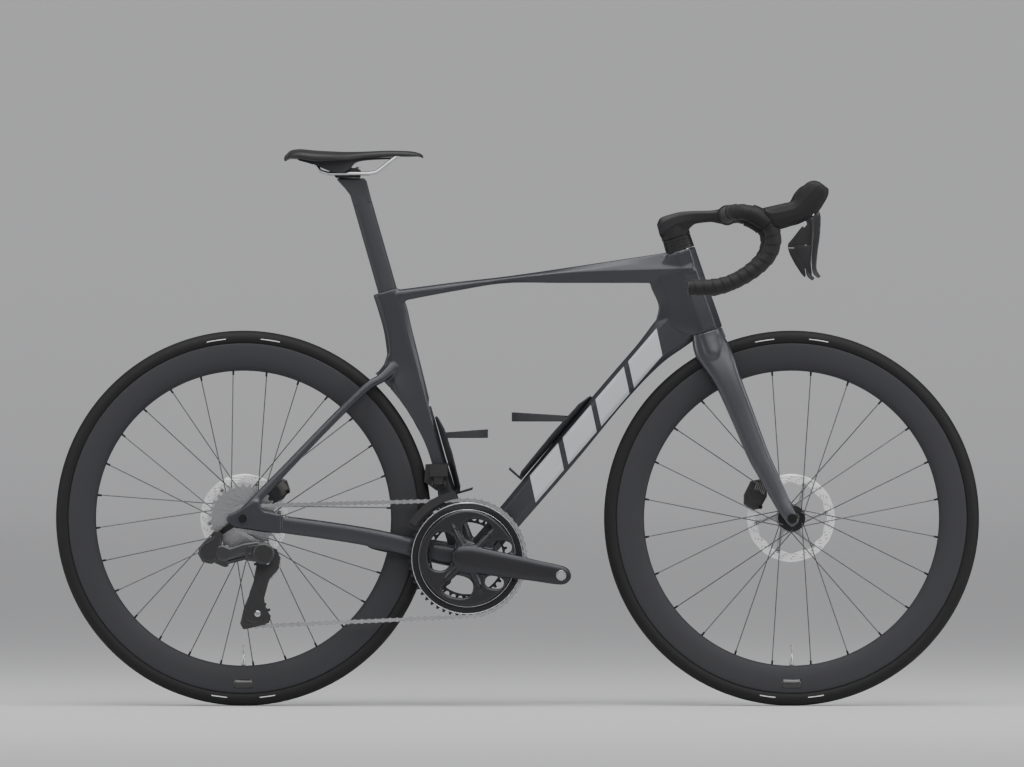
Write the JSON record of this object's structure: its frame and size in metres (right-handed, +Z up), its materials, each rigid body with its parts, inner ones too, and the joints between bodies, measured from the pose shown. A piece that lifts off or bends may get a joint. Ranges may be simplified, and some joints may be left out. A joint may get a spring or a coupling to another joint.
{
  "type": "road bicycle",
  "caption": "Road bicycle with a compact sloping frame, deep-section wheels, drop handlebar, disc brakes and a double chainring derailleur drivetrain.",
  "frame": {"origin": "on the ground midway between the two tyre contacts, under the middle of the bicycle", "axes": "+X forward, +Y to the rider's left, +Z up"},
  "size_m": [1.673, 0.444, 1.0099],
  "materials": {
    "frame_paint": "satin graphite paint over carbon",
    "fork_paint": "satin metallic graphite paint over carbon",
    "rim_carbon": "matte carbon",
    "tyre": "black tyre rubber",
    "black_rubber": "ribbed black rubber",
    "bar_tape": "matte black wrap",
    "saddle_cover": "black microfibre cover",
    "carbon_parts": "matte black carbon",
    "black_alloy": "black anodised",
    "crank_alloy": "dark grey anodised",
    "component_black": "black moulded housing",
    "steel": "bright steel",
    "spoke_steel": "dark steel",
    "pad_metal": "pad backing plate"
  },
  "bodies": {
    "frame": {"front_triangle": "frame_paint", "rear_stays": "frame_paint", "derailleur_hanger": "black_alloy", "bottom_bracket": "black_alloy", "headset_bearings": "steel", "rear_thru_axle": "black_alloy", "seat_tube_bottle_cage": "carbon_parts", "down_tube_bottle_cage": "carbon_parts", "rear_caliper": "component_black", "front_derailleur_body": "component_black", "rd_b_knuckle": "component_black", "chain_plates": "steel", "chain_rollers": "steel"},
    "steering": {"fork": "fork_paint", "front_thru_axle": "black_alloy", "stem": "carbon_parts", "headset_spacers": "carbon_parts", "handlebar": "carbon_parts", "bar_tape": "bar_tape", "right_lever_hood": "black_rubber", "left_lever_hood": "black_rubber", "front_caliper": "component_black"},
    "front_wheel": {"front_tyre": "tyre", "front_rim": "rim_carbon", "front_spokes": "spoke_steel", "front_hub": "black_alloy", "front_rotor": "steel"},
    "rear_wheel": {"rear_tyre": "tyre", "rear_rim": "rim_carbon", "rear_spokes": "spoke_steel", "rear_hub": "black_alloy", "rear_rotor": "steel"},
    "cassette_body": {"freehub": "black_alloy", "cassette": "steel"},
    "crankset": {"right_crank_arm": "crank_alloy", "large_chainring": "crank_alloy", "small_chainring": "crank_alloy", "left_crank_arm": "crank_alloy"},
    "rd_outer_link": {"rd_outer_link": "component_black"},
    "rd_inner_link": {"rd_inner_link": "component_black"},
    "rd_p_knuckle": {"rd_p_knuckle": "component_black"},
    "rd_cage": {"rd_cage": "component_black"},
    "guide_pulley": {"guide_pulley": "component_black"},
    "tension_pulley": {"tension_pulley": "component_black"},
    "fd_link": {"fd_link": "component_black"},
    "fd_cage": {"fd_cage": "component_black"},
    "right_brake_lever": {"right_brake_lever": "component_black"},
    "left_brake_lever": {"left_brake_lever": "component_black"},
    "right_upshift": {"right_upshift": "component_black"},
    "right_downshift": {"right_downshift": "component_black"},
    "left_upshift": {"left_upshift": "component_black"},
    "left_downshift": {"left_downshift": "component_black"},
    "seatpost": {"seatpost": "carbon_parts"},
    "saddle_clamp": {"saddle_clamp": "black_alloy"},
    "front_inner_pad": {"front_inner_pad": "pad_metal"},
    "front_outer_pad": {"front_outer_pad": "pad_metal"},
    "rear_inner_pad": {"rear_inner_pad": "pad_metal"},
    "rear_outer_pad": {"rear_outer_pad": "pad_metal"},
    "saddle": {"saddle": "saddle_cover", "saddle_rails": "steel"}
  },
  "joints": [
    {"name": "steering_turn", "type": "hinge", "parent": "frame", "child": "steering", "pos_m": [0.34365, 0, 0.67751], "axis": [-0.304, 0, 0.9527], "range_deg": [-70, 70]},
    {"name": "front_wheel_spin", "type": "hinge", "parent": "steering", "child": "front_wheel", "pos_m": [0.4965, 0, 0.34], "axis": [0, 1, 0], "continuous": true},
    {"name": "rear_wheel_spin", "type": "hinge", "parent": "frame", "child": "rear_wheel", "pos_m": [-0.4965, 0, 0.34], "axis": [0, 1, 0], "continuous": true},
    {"name": "crank_spin", "type": "hinge", "parent": "frame", "child": "crankset", "pos_m": [-0.09084, 0, 0.268], "axis": [0, 1, 0], "continuous": true, "deforming": ["chain_plates", "chain_rollers"]},
    {"name": "cassette_spin", "type": "hinge", "parent": "frame", "child": "cassette_body", "pos_m": [-0.4965, -0.04, 0.34], "axis": [0, 1, 0], "continuous": true},
    {"name": "rd_shift", "type": "hinge", "parent": "frame", "child": "rd_outer_link", "pos_m": [-0.528, -0.075, 0.272], "axis": [0, 0.5, 0.866], "range_deg": [0, 52]},
    {"name": "rd_inner_link_turn", "type": "hinge", "parent": "frame", "child": "rd_inner_link", "pos_m": [-0.528, -0.06201, 0.2645], "axis": [0, 0.5, 0.866], "range_deg": [0, 52]},
    {"name": "rd_knuckle_turn", "type": "hinge", "parent": "rd_outer_link", "child": "rd_p_knuckle", "pos_m": [-0.48306, -0.09398, 0.28296], "axis": [0, 0.5, 0.866], "range_deg": [-52, 0]},
    {"name": "rd_cage_swing", "type": "hinge", "parent": "rd_p_knuckle", "child": "rd_cage", "pos_m": [-0.45806, -0.072, 0.27696], "axis": [0, 1, 0], "range_deg": [-20, 45], "stiffness_Nm_per_rad": 0.6},
    {"name": "guide_pulley_spin", "type": "hinge", "parent": "rd_cage", "child": "guide_pulley", "pos_m": [-0.45249, -0.0645, 0.26278], "axis": [0, 1, 0], "continuous": true},
    {"name": "tension_pulley_spin", "type": "hinge", "parent": "rd_cage", "child": "tension_pulley", "pos_m": [-0.46935, -0.0645, 0.16825], "axis": [0, 1, 0], "continuous": true},
    {"name": "fd_shift", "type": "hinge", "parent": "frame", "child": "fd_link", "pos_m": [-0.14284, -0.032, 0.426], "axis": [1, 0, 0], "range_deg": [0, 18]},
    {"name": "fd_cage_turn", "type": "hinge", "parent": "fd_link", "child": "fd_cage", "pos_m": [-0.14284, -0.032, 0.404], "axis": [1, 0, 0], "range_deg": [-18, 0]},
    {"name": "right_brake_pull", "type": "hinge", "parent": "steering", "child": "right_brake_lever", "pos_m": [0.52955, -0.205, 0.88709], "axis": [0, 1, 0], "range_deg": [0, 18], "stiffness_Nm_per_rad": 3, "springref_deg": -2.86},
    {"name": "right_upshift_press", "type": "hinge", "parent": "right_brake_lever", "child": "right_upshift", "pos_m": [0.52435, -0.203, 0.85009], "axis": [0, 0, -1], "range_deg": [0, 4], "stiffness_Nm_per_rad": 1, "springref_deg": -1.72},
    {"name": "right_downshift_press", "type": "hinge", "parent": "right_brake_lever", "child": "right_downshift", "pos_m": [0.52435, -0.203, 0.81009], "axis": [0, 0, -1], "range_deg": [0, 4], "stiffness_Nm_per_rad": 1, "springref_deg": -1.72},
    {"name": "left_brake_pull", "type": "hinge", "parent": "steering", "child": "left_brake_lever", "pos_m": [0.52955, 0.205, 0.88709], "axis": [0, 1, 0], "range_deg": [0, 18], "stiffness_Nm_per_rad": 3, "springref_deg": -2.86},
    {"name": "left_upshift_press", "type": "hinge", "parent": "left_brake_lever", "child": "left_upshift", "pos_m": [0.52435, 0.203, 0.85009], "axis": [0, 0, 1], "range_deg": [0, 4], "stiffness_Nm_per_rad": 1, "springref_deg": -1.72},
    {"name": "left_downshift_press", "type": "hinge", "parent": "left_brake_lever", "child": "left_downshift", "pos_m": [0.52435, 0.203, 0.81009], "axis": [0, 0, 1], "range_deg": [0, 4], "stiffness_Nm_per_rad": 1, "springref_deg": -1.72},
    {"name": "seatpost_height", "type": "slide", "parent": "frame", "child": "seatpost", "axis": [-0.2756, 0, 0.9613], "range_m": [-0.04, 0.03]},
    {"name": "saddle_tilt", "type": "hinge", "parent": "seatpost", "child": "saddle_clamp", "pos_m": [-0.30625, 0, 0.94485], "axis": [0, 1, 0], "range_deg": [-10, 10]},
    {"name": "saddle_fore_aft", "type": "slide", "parent": "saddle_clamp", "child": "saddle", "axis": [1, 0, 0], "range_m": [-0.012, 0.012]},
    {"name": "front_inner_pad_press", "type": "slide", "parent": "steering", "child": "front_inner_pad", "axis": [0, 1, 0], "range_m": [0, 0.0004]},
    {"name": "front_outer_pad_press", "type": "slide", "parent": "steering", "child": "front_outer_pad", "axis": [0, -1, 0], "range_m": [0, 0.0004]},
    {"name": "rear_inner_pad_press", "type": "slide", "parent": "frame", "child": "rear_inner_pad", "axis": [0, 1, 0], "range_m": [0, 0.0004]},
    {"name": "rear_outer_pad_press", "type": "slide", "parent": "frame", "child": "rear_outer_pad", "axis": [0, -1, 0], "range_m": [0, 0.0004]}
  ],
  "couplings": [
    {"joint": "cassette_spin", "follows": "crank_spin", "ratio": 4.7273},
    {"joint": "guide_pulley_spin", "follows": "crank_spin", "ratio": -4.7273},
    {"joint": "tension_pulley_spin", "follows": "crank_spin", "ratio": 4.7273},
    {"joint": "rd_inner_link_turn", "follows": "rd_shift", "ratio": 1},
    {"joint": "rd_knuckle_turn", "follows": "rd_shift", "ratio": -1},
    {"joint": "fd_cage_turn", "follows": "fd_shift", "ratio": -1},
    {"joint": "front_inner_pad_press", "follows": "left_brake_pull", "m_per_rad": 0.001272},
    {"joint": "front_outer_pad_press", "follows": "left_brake_pull", "m_per_rad": 0.001272},
    {"joint": "rear_inner_pad_press", "follows": "right_brake_pull", "m_per_rad": 0.001272},
    {"joint": "rear_outer_pad_press", "follows": "right_brake_pull", "m_per_rad": 0.001272}
  ]
}
